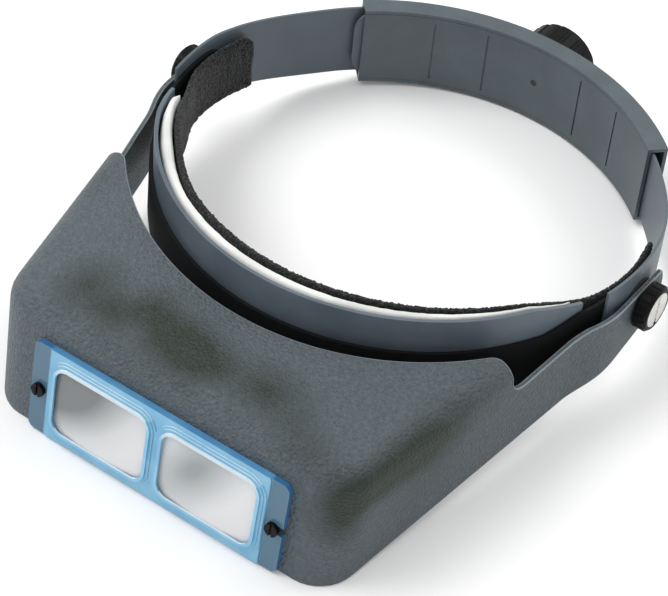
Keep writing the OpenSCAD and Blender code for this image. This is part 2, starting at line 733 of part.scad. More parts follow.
cap_seat_t = 1;
module pivot_knob(side) {
    color("black") stand() on_pivot(side, pivot_knob_x) difference() {
        grooved_knob(pivot_knob_r, pivot_knob_t, pivot_knob_grooves, 0.8, pivot_knob_r - 1.9, cap_seat_t);
        translate([0, 0, -1]) cylinder(r = bolt_r + run_gap, h = pivot_knob_t - 0.6, $fn = 48);
    }
}

module pivot_knob_left() { pivot_knob(1); }

module pivot_knob_right() { pivot_knob(-1); }

module pivot_cap(side) {
    slot_w = 1.6;
    color("silver") stand() on_pivot(side, pivot_knob_x + pivot_knob_t - cap_seat_t + 0.05) difference() {
        cylinder(r = pivot_knob_r - 2, h = cap_seat_t, $fn = 64);
        translate([-big / 2, -slot_w / 2, 0.45]) cube([big, slot_w, 5]);
    }
}

module pivot_cap_left() { pivot_cap(1); }

module pivot_cap_right() { pivot_cap(-1); }

module housing_shell() {
    half_h = housing_h / 2;
    inner_h = half_h - housing_wall;
    color("slategray") stand() difference() {
        union() {
            bend(head_rear_c, 90 - housing_a, 90 + housing_a) translate([head_rear_r, 0]) difference() {
                translate([0, -half_h]) square([housing_d, housing_h]);
                translate([-1, -inner_h]) square([housing_d - housing_wall + 1, 2 * inner_h]);
            }
            on_knob(head_rear + housing_d - housing_wall + 0.1)
                cylinder(r = boss_r, h = housing_wall - 0.1 + boss_t, $fn = 96);
        }
        on_knob(head_rear) cylinder(r = axle_r + run_gap, h = 20, $fn = 64);
    }
}

module housing_liner() {
    half_h = housing_h / 2 - housing_wall - 0.1;
    score_w = 0.7;
    score_d = 0.45;
    color("slategray") stand() difference() {
        bend(head_rear_c, 90 - housing_a, 90 + housing_a) translate([head_rear_r, -half_h])
            square([housing_wall, 2 * half_h]);
        for (x = [-score_out_x, -score_in_x, score_in_x, score_out_x])
            translate([0, head_rear_c, 0]) rotate([0, 0, -asin(x / head_rear_r)])
                translate([-score_w / 2, head_rear_r - 1, -half_h * score_part])
                    cube([score_w, 1 + score_d, 2 * half_h * score_part]);
        on_knob(head_rear - 5) cylinder(r = tip_pin_r + run_gap, h = 12, $fn = 32);
    }
}

module knob_washer() {
    color("silver") stand() on_knob(boss_y + layer_gap) ring(axle_r + 4, axle_r + run_gap, knob_washer_t);
}

// Pinion with its axle: a short pin turns in the liner, the long end drives the knob
tip_pin_r = 1.2;
flat_cut = 0.8;
axle_in = 5;
module gear_outline() {
    half = 90 / pinion_teeth;
    polygon([for (i = [0 : pinion_teeth - 1], p = [[-half * 1.5, root_r_gear], [-half * 0.88, root_r_gear],
        [-half * 0.34, tip_r_gear], [half * 0.34, tip_r_gear], [half * 0.88, root_r_gear]])
        p.y * [cos(i * 360 / pinion_teeth + p.x + 90), sin(i * 360 / pinion_teeth + p.x + 90)]]);
}

module drive_end(extra, h) {
    difference() {
        cylinder(r = axle_r + extra, h = h, $fn = 64);
        translate([-10, axle_r - flat_cut + extra, -1]) cube([20, 10, h + 2]);
    }
}

module pinion() {
    color("white") stand() difference() {
        union() {
            on_knob(head_rear + 0.2) cylinder(r = tip_pin_r, h = pinion_low, $fn = 32);
            on_knob(head_rear + pinion_low) linear_extrude(pinion_high - pinion_low) gear_outline();
            on_knob(head_rear + pinion_high - 0.5)
                cylinder(r = axle_r, h = knob_y - head_rear - pinion_high + 0.5, $fn = 64);
            on_knob(knob_y - 0.1) drive_end(0, axle_in + 0.1);
        }
        on_knob(knob_y - 3) cylinder(r = 1.35, h = 20, $fn = 32);
    }
}

module rear_knob() {
    color("black") stand() difference() {
        on_knob(knob_y) grooved_knob(knob_r, knob_t, knob_grooves, 1.1, knob_r - 6, 1.5);
        on_knob(knob_y - 1) drive_end(run_gap, axle_in + 1.3);
        on_knob(knob_y) cylinder(r = 1.7, h = knob_t, $fn = 32);
        on_knob(knob_y + axle_in + 1.8) cylinder(r = 3.4, h = knob_t, $fn = 48);
    }
}

module knob_screw() {
    head_y = knob_y + axle_in + 1.9;
    color("silver") stand() on_knob(0) difference() {
        union() {
            translate([0, 0, knob_y - 2]) cylinder(r = 1.3, h = head_y - knob_y + 2.5, $fn = 32);
            translate([0, 0, head_y]) cylinder(r = 2.9, h = 1.4, $fn = 48);
        }
        for (a = [0, 90]) translate([0, 0, head_y + 1.2]) rotate([0, 0, a])
            cube([3.6, 0.7, 1.2], center = true);
    }
}

module knob_cap() {
    color("black") stand() on_knob(knob_y + knob_t - 1.4) cylinder(r = knob_r - 6.1, h = 1.2, $fn = 64);
}

visor();
lens_plate();
lens_left();
lens_right();
lens_screw_left();
lens_screw_right();
lens_inserts();
carrier_band();
trim_band();
brow_foam();
sweatband();
strap_left();
strap_right();
strap_rivets();
pivot_bolts();
pivot_bushes();
friction_washers();
wave_washers();
pivot_knob_left();
pivot_knob_right();
pivot_cap_left();
pivot_cap_right();
housing_shell();
housing_liner();
knob_washer();
pinion();
rear_knob();
knob_screw();
knob_cap();
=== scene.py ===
# %% [markdown]
# # A headband magnifier
# The object is worn on the head: a hard visor holds two lenses in front of the eyes, and a
# padded band with a knob at the back carries it. The CAD model gives every size and every
# joint. This notebook dresses it: soft edges, bent straps, padding, and a finish for each
# surface. All shapes are drawn in millimetres in the band's own level frame, and each one is
# brought to metres, and to the stance in which the object stands, only when it is done.

import json
import math

import bmesh
import bpy
from mathutils import Matrix, Vector, noise


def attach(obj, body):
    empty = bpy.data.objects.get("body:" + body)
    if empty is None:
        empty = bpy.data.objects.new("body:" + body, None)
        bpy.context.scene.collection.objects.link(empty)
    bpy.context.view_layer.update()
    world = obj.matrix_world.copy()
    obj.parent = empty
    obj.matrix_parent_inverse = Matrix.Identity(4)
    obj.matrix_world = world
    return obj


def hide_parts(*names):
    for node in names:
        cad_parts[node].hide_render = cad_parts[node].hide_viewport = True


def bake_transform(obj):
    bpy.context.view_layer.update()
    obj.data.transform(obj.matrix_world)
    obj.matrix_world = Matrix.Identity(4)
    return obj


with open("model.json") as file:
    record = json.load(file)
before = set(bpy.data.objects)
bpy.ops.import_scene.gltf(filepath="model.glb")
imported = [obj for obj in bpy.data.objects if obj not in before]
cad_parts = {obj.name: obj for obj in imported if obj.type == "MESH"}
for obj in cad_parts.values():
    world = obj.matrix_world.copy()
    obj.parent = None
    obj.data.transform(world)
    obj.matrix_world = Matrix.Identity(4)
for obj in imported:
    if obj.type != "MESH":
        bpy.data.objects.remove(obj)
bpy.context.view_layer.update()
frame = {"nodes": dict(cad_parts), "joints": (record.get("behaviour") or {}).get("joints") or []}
nodes = frame["nodes"]
joints = {joint["name"]: joint for joint in frame["joints"]}

PIVOT_Z = 5.0
backward = Vector(joints["housing_slide"]["axis"])
tilt = math.atan2(-backward.z, backward.y)
turn = Matrix.Rotation(-tilt, 4, "X")
pivot = Vector(joints["visor_raise"]["pos_m"])
STAND = Matrix.Translation(pivot - turn @ Vector((0, 0, PIVOT_Z / 1000))) @ turn @ Matrix.Scale(0.001, 4)

# %% [markdown]
# ## Camera
# The photograph looks down on the object from the front and the wearer's left. The camera
# was found by matching points of the model with the same points of the photograph: a long
# lens, so nearly parallel edges stay nearly parallel. It needs no shift.

# %% Camera at the photograph's angle
lens = bpy.data.cameras.new("photo_camera")
lens.sensor_fit = "HORIZONTAL"
lens.sensor_width = 36
lens.lens = 132.184
camera = bpy.data.objects.new("photo_camera", lens)
camera.location = (0.311422, -0.483452, 0.607335)
camera.rotation_euler = [math.radians(a) for a in (42.8606, -1.6879, 35.7924)]
bpy.context.collection.objects.link(camera)
bpy.context.scene.camera = camera
print("camera", [round(v, 3) for v in camera.location], "lens", lens.lens, "mm")

# %% [markdown]
# ## Hand tools
# An operator works on everything that is selected, so each step first clears the selection.
# These few helpers do what a hand does with the mouse: pick one object, pick the parts of a
# mesh that lie in a certain place, and add a modifier and apply it at once.


# %% Helpers to select, to apply a modifier and to settle a finished piece
def clear():
    if bpy.context.object and bpy.context.object.mode != "OBJECT":
        bpy.ops.object.mode_set(mode="OBJECT")
    bpy.ops.object.select_all(action="DESELECT")


def only(obj):
    clear()
    obj.select_set(True)
    bpy.context.view_layer.objects.active = obj


def pick(kind, test):
    """Edit mode: selects the edges or faces whose middle, and the part itself, pass the test."""
    bpy.ops.mesh.select_mode(type=kind)
    bpy.ops.mesh.select_all(action="DESELECT")
    mesh = bmesh.from_edit_mesh(bpy.context.edit_object.data)
    found = []
    for part in mesh.edges if kind == "EDGE" else mesh.faces:
        middle = sum((v.co for v in part.verts), Vector()) / len(part.verts)
        if test(middle, part):
            found.append(part)
    for part in found:
        part.select_set(True)
    mesh.select_flush_mode()
    bmesh.update_edit_mesh(bpy.context.edit_object.data)
    return len(found)


def modify(obj, kind, **settings):
    only(obj)
    modifier = obj.modifiers.new(kind.lower(), kind)
    for key, value in settings.items():
        setattr(modifier, key, value)
    bpy.ops.object.modifier_apply(modifier=modifier.name)


def outward(obj):
    only(obj)
    bpy.ops.object.mode_set(mode="EDIT")
    bpy.ops.mesh.select_all(action="SELECT")
    bpy.ops.mesh.normals_make_consistent(inside=False)
    bpy.ops.object.mode_set(mode="OBJECT")
    return obj


def settle(obj, name, body, material, slot, *replaced, angle=35):
    """Brings a piece drawn in millimetres to its place, names it and hangs it on its body.
    Without a material it keeps its own, and without a body it is hung on none."""
    only(obj)
    obj.data.transform(obj.matrix_world)
    obj.matrix_world = Matrix.Identity(4)
    obj.data.transform(STAND)
    obj.name = name
    obj.data.name = name
    bpy.ops.object.shade_smooth_by_angle(angle=math.radians(angle))
    modify(obj, "WEIGHTED_NORMAL", keep_sharp=True)
    if material:
        obj.data.materials.clear()
        obj.data.materials.append(material)
    if replaced:
        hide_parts(*replaced)
    print(name, len(obj.data.polygons), "faces", [round(1000 * v) for v in obj.dimensions], "mm")
    if body:
        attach(obj, body)


# %% [markdown]
# ## Finishes
# Every finish is a Principled shader with a few textures in front of it. Photographs of
# surfaces could be wrapped round the pieces instead, but calculated patterns need no files and
# no seams. They read the object's own coordinates in metres, so a grain of 1 mm has a scale of
# about 1000. Colours are written as they look on a screen, and one function makes them linear
# for the renderer.


# %% Colour and node helpers
def srgb(code):
    values = [int(code[i : i + 2], 16) / 255 for i in (1, 3, 5)]
    return [v / 12.92 if v <= 0.04045 else ((v + 0.055) / 1.055) ** 2.4 for v in values] + [1.0]


def add(tree, kind, inputs=None, **settings):
    """One node with its settings, its plain input values and its links."""
    new = tree.nodes.new(kind)
    for key, value in settings.items():
        setattr(new, key, value)
    for key, value in (inputs or {}).items():
        if isinstance(value, bpy.types.NodeSocket):
            tree.links.new(value, new.inputs[key])
        else:
            new.inputs[key].default_value = value
    return new


def finish(name, **values):
    """A new material: its node tree, its Principled shader and object coordinates."""
    material = bpy.data.materials.new(name)
    material.use_nodes = True
    tree = material.node_tree
    shader = tree.nodes["Principled BSDF"]
    for key, value in values.items():
        shader.inputs[key.replace("_", " ")].default_value = value
    place = add(tree, "ShaderNodeTexCoord").outputs["Object"]
    return material, tree, shader, place


def ramp(node, stops):
    """Sets the stops of a colour ramp node to (position, colour) pairs."""
    elements = node.color_ramp.elements
    while len(elements) < len(stops):
        elements.new(0.5)
    for element, (position, colour) in zip(elements, stops):
        element.position = position
        element.color = colour
    return node.outputs["Color"]


# %% [markdown]
# ### Grained ABS of the visor
# The visor is moulded from ABS in a tool with a fine leather grain, about 1 mm across. Up
# close the grain breaks the light into small sparkles, so the surface looks matte. Soft dark
# patches run across the top panel, along its creases and down the front corner: painted shade
# and painted dark reflections. They could be painted on an unwrapped surface. Here they are
# soft balls of darker colour at fixed places in the plastic, which need no unwrapping.

# %% Painted shade and dark reflections on the visor
visor_abs, tree, shader, place = finish("grained_abs_blue_grey", Roughness=0.52, IOR=1.53)
# For each patch of painted shade: its middle and its reach along X, Y and Z in mm, and how dark it is
painted_shade_patches = [
    ((-76, -54, 42), (12, 18, 14), 0.4),
    ((-45, -92, 44), (14, 17, 14), 0.85),
    ((-32, -97, 44), (11, 11, 12), 0.75),
    ((-23, -87, 44), (11, 11, 12), 0.5),
    ((-14, -92, 44), (30, 20, 24), 0.65),
    ((-9, -94, 44), (14, 14, 10), 0.95),
    ((3, -96, 44), (13, 14, 10), 0.95),
    ((25, -93, 44), (22, 14, 20), 0.95),
    ((42, -101, 44), (11, 11, 12), 0.5),
    ((52, -104, 44), (11, 11, 12), 0.45),
    ((65, -107, 36), (11, 11, 13), 1.0),
    ((65, -109, 27), (15, 12, 13), 0.85),
    ((69, -99, 36), (11, 13, 11), 0.85),
    ((71, -91, 36), (12, 16, 12), 1.05),
    ((73, -81, 37), (12, 15, 12), 1.0),
    ((75, -70, 37), (14, 17, 14), 0.9),
    ((75, -77, 26), (18, 24, 16), 0.3),
    ((78, -53, 39), (12, 18, 14), 0.4),
]
dark = None
for centre, size, depth in painted_shade_patches:
    ball = add(
        tree,
        "ShaderNodeMapping",
        {"Vector": place, "Location": [v / 1000 for v in centre], "Scale": [v / 1000 for v in size]},
        vector_type="TEXTURE",
    )
    soft = add(tree, "ShaderNodeTexGradient", {"Vector": ball.outputs["Vector"]}, gradient_type="SPHERICAL")
    level = add(tree, "ShaderNodeMath", {0: soft.outputs["Fac"], 1: depth}, operation="MULTIPLY").outputs[0]
    if dark is None:
        dark = level
    else:
        dark = add(tree, "ShaderNodeMath", {0: dark, 1: level}, operation="ADD").outputs[0]
print("patches:", len(painted_shade_patches))

# %% Colour and grain of the visor
# Clouds of about 18 mm break up the patches
cloud = add(tree, "ShaderNodeTexNoise", {"Vector": place, "Scale": 55.0, "Detail": 4.0, "Roughness": 0.6})
broken = add(
    tree,
    "ShaderNodeMapRange",
    {"Value": cloud.outputs["Fac"], "From Min": 0.25, "From Max": 0.75, "To Min": 0.8, "To Max": 1.2},
)
dark = add(
    tree, "ShaderNodeMath", {0: dark, 1: broken.outputs["Result"]}, operation="MULTIPLY", use_clamp=True
).outputs[0]
# Specks of about 1.4 mm in three close tones
speck = add(tree, "ShaderNodeTexNoise", {"Vector": place, "Scale": 700.0, "Detail": 3.0, "Roughness": 0.7})
tone = ramp(
    add(tree, "ShaderNodeValToRGB", {"Fac": speck.outputs["Fac"]}),
    [(0.3, srgb("#404a4f")), (0.52, srgb("#4a545a")), (0.75, srgb("#566167"))],
)
# Painted light toward the wearer's right side, where the key light falls, and a lighter front wall
spot = add(tree, "ShaderNodeSeparateXYZ", {"Vector": place})
side = add(
    tree,
    "ShaderNodeMapRange",
    {"Value": spot.outputs["X"], "From Min": -0.08, "From Max": -0.02, "To Min": 1.1, "To Max": 0.92},
)
face = add(
    tree,
    "ShaderNodeMapRange",
    {"Value": spot.outputs["Y"], "From Min": -0.106, "From Max": -0.116, "To Min": 1.0, "To Max": 1.16},
)
painted_light_and_front_lift = add(
    tree, "ShaderNodeMath", {0: side.outputs["Result"], 1: face.outputs["Result"]}, operation="MULTIPLY"
)
tone = add(tree, "ShaderNodeHueSaturation", {"Value": painted_light_and_front_lift.outputs[0], "Color": tone}).outputs["Color"]
# The patches mix in a dark green-black: painted shade and painted dark reflections
shade = add(tree, "ShaderNodeMix", {0: dark, 6: tone, 7: srgb("#0a1e0f")}, data_type="RGBA").outputs[2]
tree.links.new(shade, shader.inputs["Base Color"])
# The leather grain has cells of about 1 mm, with a roughness of 0.7 mm on them
grain = add(tree, "ShaderNodeTexVoronoi", {"Vector": place, "Scale": 950.0, "Randomness": 1.0}, feature="F1")
fine = add(tree, "ShaderNodeTexNoise", {"Vector": place, "Scale": 1500.0, "Detail": 2.0})
height = add(
    tree, "ShaderNodeMath", {0: grain.outputs["Distance"], 1: fine.outputs["Fac"]}, operation="ADD"
).outputs[0]
bump = add(tree, "ShaderNodeBump", {"Height": height, "Strength": 0.9, "Distance": 0.0006})
tree.links.new(bump.outputs["Normal"], shader.inputs["Normal"])
print("visor finish:", len(tree.nodes), "nodes")

# %% [markdown]
# ### Other plastics
# The straps and the rear housing are polyethylene and ABS in a satin finish, close to the
# visor's colour but smoother. The carrier is black and glossy. The trim is a dark blue-grey
# band. All of them have a slight unevenness in colour and gloss from moulding and handling, so
# one function makes them all from two close tones. The thin bright lines on their edges are
# painted highlights, and on the carrier a painted glint: a second, paler finish on the bevel
# faces stands for them.


# %% Satin and glossy plastics
def plastic(name, low, high, rough, bump_depth, scale, **values):
    """Two tones in blotches, scale of them to the metre, with fine bumps as deep as bump_depth."""
    material, tree, shader, place = finish(name, Roughness=rough, **values)
    uneven = add(
        tree, "ShaderNodeTexNoise", {"Vector": place, "Scale": scale, "Detail": 5.0, "Roughness": 0.55}
    )
    tone = ramp(
        add(tree, "ShaderNodeValToRGB", {"Fac": uneven.outputs["Fac"]}), [(0.3, srgb(low)), (0.7, srgb(high))]
    )
    tree.links.new(tone, shader.inputs["Base Color"])
    gloss = add(
        tree,
        "ShaderNodeMapRange",
        {"Value": uneven.outputs["Fac"], "To Min": rough - 0.08, "To Max": rough + 0.08},
    )
    tree.links.new(gloss.outputs["Result"], shader.inputs["Roughness"])
    # The real texture is finer than a pixel. Bumps of 0.8 mm are the finest that still show
    micro = add(tree, "ShaderNodeTexNoise", {"Vector": place, "Scale": 1300.0, "Detail": 2.0})
    bump = add(
        tree, "ShaderNodeBump", {"Height": micro.outputs["Fac"], "Strength": 0.3, "Distance": bump_depth}
    )
    tree.links.new(bump.outputs["Normal"], shader.inputs["Normal"])
    return material


strap_pe = plastic("satin_polyethylene_blue_grey", "#4a555d", "#566169", 0.42, 0.0001, 40.0, IOR=1.51)
housing_abs = plastic("satin_abs_grey_green", "#424c52", "#4f5a60", 0.45, 0.00012, 60.0, IOR=1.53)
trim_pvc = plastic("satin_vinyl_dark_blue_grey", "#4c5760", "#5c6771", 0.42, 0.0001, 50.0, IOR=1.54)
carrier_pe = plastic(
    "glossy_polyethylene_black", "#141516", "#1d1e1f", 0.6, 0.00004, 30.0, IOR=1.4, Specular_IOR_Level=0.1
)
knob_abs = plastic(
    "moulded_abs_black", "#060607", "#0c0d0e", 0.45, 0.00008, 80.0, IOR=1.35, Specular_IOR_Level=0.2
)
nylon = plastic("black_nylon", "#131313", "#1e1e1e", 0.45, 0.00005, 90.0, IOR=1.53)
fibre = plastic("black_fibre_washer", "#161616", "#232323", 0.8, 0.0002, 300.0, IOR=1.5)
# Paler finishes for bevel faces: painted highlights on the edges, a painted glint on the carrier
housing_edge_highlight = plastic("satin_abs_edge_painted_highlight", "#6b767a", "#7a8589", 0.4, 0.00005, 60.0, IOR=1.53)
visor_rim_highlight = plastic("grained_abs_rim_painted_highlight", "#6d787e", "#838e94", 0.45, 0.00012, 60.0, IOR=1.53)
trim_edge_highlight = plastic("satin_vinyl_edge_painted_highlight", "#6a747d", "#7d8790", 0.35, 0.00005, 50.0, IOR=1.54)
carrier_edge_glint = plastic("polyethylene_edge_painted_glint", "#b4b4ab", "#d6d6cc", 0.5, 0.00005, 200.0, IOR=1.51)

# %% [markdown]
# ### Clear blue plate and glass
# The lens plate is moulded from acrylic tinted sky blue. It passes some light, so its
# edges look deeper in colour than its flat faces, and its polished steps catch white lines
# of light. Light traced through thick plastic could give this by itself, but only with many
# more samples, so four plain finishes of one recipe stand for the plate's parts.


# %% Tinted acrylic
def acrylic(name, middle_low, middle_high, flange, clear, sky=None):
    """Tinted acrylic: where the plate is a thin flange, the visor behind shows through it."""
    material, tree, shader, place = finish(name, Roughness=0.12, IOR=1.49, Transmission_Weight=clear)
    swirl = add(tree, "ShaderNodeTexNoise", {"Vector": place, "Scale": 90.0, "Detail": 3.0})
    tone = ramp(
        add(tree, "ShaderNodeValToRGB", {"Fac": swirl.outputs["Fac"]}),
        [(0.3, srgb(middle_low)), (0.7, srgb(middle_high))],
    )
    # Past about 43 mm from its middle the plate is only a flange
    across = add(tree, "ShaderNodeSeparateXYZ", {"Vector": place}).outputs["X"]
    across = add(tree, "ShaderNodeMath", {0: across}, operation="ABSOLUTE").outputs[0]
    thin = add(tree, "ShaderNodeMapRange", {"Value": across, "From Min": 0.0422, "From Max": 0.0434})
    if sky:
        # Its upper part leans toward the light and shines almost white
        height = add(tree, "ShaderNodeSeparateXYZ", {"Vector": place}).outputs["Z"]
        lit = add(tree, "ShaderNodeMapRange", {"Value": height, "From Min": 0.0265, "From Max": 0.0305})
        tone = add(
            tree, "ShaderNodeMix", {0: lit.outputs["Result"], 6: tone, 7: srgb(sky)}, data_type="RGBA"
        ).outputs[2]
    mixed = add(
        tree, "ShaderNodeMix", {0: thin.outputs["Result"], 6: tone, 7: srgb(flange)}, data_type="RGBA"
    ).outputs[2]
    tree.links.new(mixed, shader.inputs["Base Color"])
    return material


plate_acrylic = acrylic("tinted_acrylic_sky_blue", "#7fc3ea", "#9bd6f4", "#5b8199", 0.28)
# The white lines on the steps are painted highlights
plate_step_highlight = acrylic("acrylic_step_painted_highlight", "#cfe6f2", "#f2f9fc", "#86b4d2", 0.1)
plate_bezel = acrylic("acrylic_bezel_in_the_light", "#86c6ea", "#a2daf4", "#7fb0d2", 0.2, "#e3f0f6")
plate_rim = acrylic("acrylic_deep_edge", "#4c8fc4", "#6aa9d4", "#3a78ad", 0.25)
print("clear plastics:", plate_acrylic.name, plate_step_highlight.name, plate_bezel.name, plate_rim.name)

# %% [markdown]
# The lenses are clear polished glass. In the studio light they look milky where they mirror
# the bright room, and grey where the shade behind them shows. Both are painted into the glass's
# colour: each lens gets a painted milky reflection and one soft ball of painted grey shade at
# its place, turned to lie along the shade.


# %% Lens glass
def glass(name, centre, size, slant, core, shade):
    """Lens glass with a painted reflection and painted shade: clear grey in the upper outer corner, milky
    below.
    """
    material, tree, shader, place = finish(name, Roughness=0.04, IOR=1.52, Transmission_Weight=0.3)
    ball = add(
        tree,
        "ShaderNodeMapping",
        {
            "Vector": place,
            "Location": [v / 1000 for v in centre],
            "Rotation": (0, math.radians(slant), 0),
            "Scale": [v / 1000 for v in size],
        },
        vector_type="TEXTURE",
    )
    soft = add(tree, "ShaderNodeTexGradient", {"Vector": ball.outputs["Vector"]}, gradient_type="SPHERICAL")
    painted_reflection_and_shade = ramp(
        add(tree, "ShaderNodeValToRGB", {"Fac": soft.outputs["Fac"]}),
        [(0.0, srgb("#fdfdfe")), (0.25, srgb("#eef0f2")), (core, srgb(shade))],
    )
    tree.links.new(painted_reflection_and_shade, shader.inputs["Base Color"])
    film = add(tree, "ShaderNodeTexNoise", {"Vector": place, "Scale": 35.0, "Detail": 2.0})
    rough = add(tree, "ShaderNodeMapRange", {"Value": film.outputs["Fac"], "To Min": 0.02, "To Max": 0.1})
    tree.links.new(rough.outputs["Result"], shader.inputs["Roughness"])
    return material


# Painted shade of each lens: its middle and reach in mm, its turn, its core and its grey
glass_right = glass("polished_glass_right", (-38, -117, 26), (46, 30, 27), -28, 0.62, "#868b8d")
glass_left = glass("polished_glass_left", (16, -117, 23), (34, 30, 15), -49, 0.9, "#a9afb0")

# %% [markdown]
# ### Metals
# Nickel-plated steel is bright with faint turning marks. The small lens screws are
# blackened steel, and the inserts behind them are turned brass. A metal's colour is its
# mirror colour, so it needs only two close tones and a gloss that wanders with them.


# %% Turned and plated metals
def metal(name, low, high, rough, scale):
    material, tree, shader, place = finish(name, Metallic=1.0, Roughness=rough)
    marks = add(tree, "ShaderNodeTexNoise", {"Vector": place, "Scale": scale, "Detail": 4.0})
    tone = ramp(
        add(tree, "ShaderNodeValToRGB", {"Fac": marks.outputs["Fac"]}), [(0.3, srgb(low)), (0.7, srgb(high))]
    )
    tree.links.new(tone, shader.inputs["Base Color"])
    gloss = add(
        tree,
        "ShaderNodeMapRange",
        {"Value": marks.outputs["Fac"], "To Min": rough - 0.06, "To Max": rough + 0.08},
    )
    tree.links.new(gloss.outputs["Result"], shader.inputs["Roughness"])
    return material


# Turning marks 2 mm, 1.1 mm and 1.7 mm apart, far coarser than real ones, so that they show
nickel = metal("nickel_plated_steel", "#c9c8c4", "#e4e3df", 0.24, 500.0)
black_steel = metal("blackened_steel", "#1b1b1c", "#2c2c2e", 0.4, 900.0)
brass = metal("turned_brass", "#b08d4b", "#cfae6b", 0.3, 600.0)

# %% [markdown]
# ### Foam and terry
# The brow foam is white and closed-cell: smooth, very matte, with cells of about half a
# millimetre. The sweatband is black brushed terry cloth. Its loops are about 0.9 mm apart
# and stand up in tufts, so it looks rough and swallows light. Real fibres could be grown on
# it, but they would weigh more than the whole object. Bumps and tufts in the colour do here.

# %% Foam
foam_cell, tree, shader, place = finish(
    "closed_cell_foam_white", Roughness=0.85, IOR=1.45, Subsurface_Weight=0.15, Subsurface_Scale=0.002
)
cells = add(tree, "ShaderNodeTexVoronoi", {"Vector": place, "Scale": 1800.0})
dirt = add(tree, "ShaderNodeTexNoise", {"Vector": place, "Scale": 60.0, "Detail": 4.0})
tone = ramp(
    add(tree, "ShaderNodeValToRGB", {"Fac": dirt.outputs["Fac"]}),
    [(0.25, srgb("#c2c4c0")), (0.6, srgb("#dcdedb"))],
)
tree.links.new(tone, shader.inputs["Base Color"])
bump = add(
    tree, "ShaderNodeBump", {"Height": cells.outputs["Distance"], "Strength": 0.25, "Distance": 0.0002}
)
tree.links.new(bump.outputs["Normal"], shader.inputs["Normal"])
print("foam finish:", len(tree.nodes), "nodes")

# %% Terry
terry, tree, shader, place = finish(
    "brushed_terry_black",
    Roughness=0.95,
    IOR=1.45,
    Sheen_Weight=0.15,
    Sheen_Roughness=0.6,
    Specular_IOR_Level=0.2,
)
loops = add(tree, "ShaderNodeTexVoronoi", {"Vector": place, "Scale": 1100.0})
tufts = add(tree, "ShaderNodeTexNoise", {"Vector": place, "Scale": 950.0, "Detail": 5.0, "Roughness": 0.75})
tone = ramp(
    add(tree, "ShaderNodeValToRGB", {"Fac": tufts.outputs["Fac"]}),
    [(0.4, srgb("#060707")), (0.52, srgb("#121413")), (0.62, srgb("#333735")), (0.74, srgb("#5c605a"))],
)
tree.links.new(tone, shader.inputs["Base Color"])
nap = add(
    tree, "ShaderNodeMath", {0: loops.outputs["Distance"], 1: tufts.outputs["Fac"]}, operation="ADD"
).outputs[0]
bump = add(tree, "ShaderNodeBump", {"Height": nap, "Strength": 0.7, "Distance": 0.0005})
tree.links.new(bump.outputs["Normal"], shader.inputs["Normal"])
print("materials:", len(bpy.data.materials))

# %% [markdown]
# ## Softened solids
# A moulded edge is never quite sharp: a radius of a few tenths of a millimetre draws the
# thin line of light that makes a part look real. The CAD solids stay as they are, so a copy
# is merged into one skin, its flat faces are joined, and its sharp edges get a small bevel.
# This was chosen over modelling them again because their shape is already right.


# %% Copies of CAD solids with small radii on their edges
def soften(node, body, material, radius, edge=None):
    """A copy of a node with edges of this radius in mm, which may have a finish of their own."""
    source = nodes[node]
    copy = bpy.data.objects.new(node + "_soft", source.data.copy())
    bpy.context.collection.objects.link(copy)
    copy.data.transform(source.matrix_world)
    copy.data.materials.clear()
    only(copy)
    bpy.ops.object.mode_set(mode="EDIT")
    bpy.ops.mesh.select_all(action="SELECT")
    bpy.ops.mesh.remove_doubles(threshold=0.00001)
    bpy.ops.mesh.dissolve_limited(angle_limit=math.radians(0.6))
    bpy.ops.object.mode_set(mode="OBJECT")
    modify(
        copy,
        "BEVEL",
        width=radius / 1000,
        segments=2,
        limit_method="ANGLE",
        angle_limit=math.radians(35),
        use_clamp_overlap=True,
        miter_outer="MITER_ARC",
        material=1 if edge else -1,
    )
    bpy.ops.object.shade_smooth_by_angle(angle=math.radians(32))
    modify(copy, "WEIGHTED_NORMAL", keep_sharp=True)
    for finish_of_copy in (material, edge) if edge else (material,):
        copy.data.materials.append(finish_of_copy)
    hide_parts(node)
    print(copy.name, len(copy.data.polygons), "faces")
    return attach(copy, body)


plate = soften("lens_plate", "visor", plate_acrylic, 0.2, plate_step_highlight)

# %% [markdown]
# The plate's finishes go on by place: the deep blue edge round the outside, the bright raised
# front, and a painted highlight, the white line of light, on each small step below it. A face
# keeps the number of its finish, so nothing has to be cut apart.

# %% Finishes of the lens plate
OUTWARD = Vector((0, -0.9796, 0.2014))
EDGE_X, EDGE_DEPTH, FRONT_DEPTH, STEP_DEPTH = 0.0488, 0.0012, 0.0001, 0.0016
LINE, RIM, BEZEL = 1, 2, 3
for finish_of_plate in (plate_rim, plate_bezel):
    plate.data.materials.append(finish_of_plate)
front = max(OUTWARD.dot(v.co) for v in plate.data.vertices)
top = max(v.co.z for v in plate.data.vertices)
# Each face gets the deep edge, the bright front, or the painted highlight of a step
for face in plate.data.polygons:
    at_edge = abs(face.center.x) > EDGE_X or face.center.z > top - EDGE_DEPTH
    if at_edge and abs(face.normal.y) < 0.95:
        face.material_index = RIM
    elif OUTWARD.dot(face.center) > front - FRONT_DEPTH:
        face.material_index = BEZEL
    elif face.normal.z > 0.7 and OUTWARD.dot(face.center) > front - STEP_DEPTH:
        face.material_index = LINE
print("plate finishes:", [sum(f.material_index == i for f in plate.data.polygons) for i in range(4)])

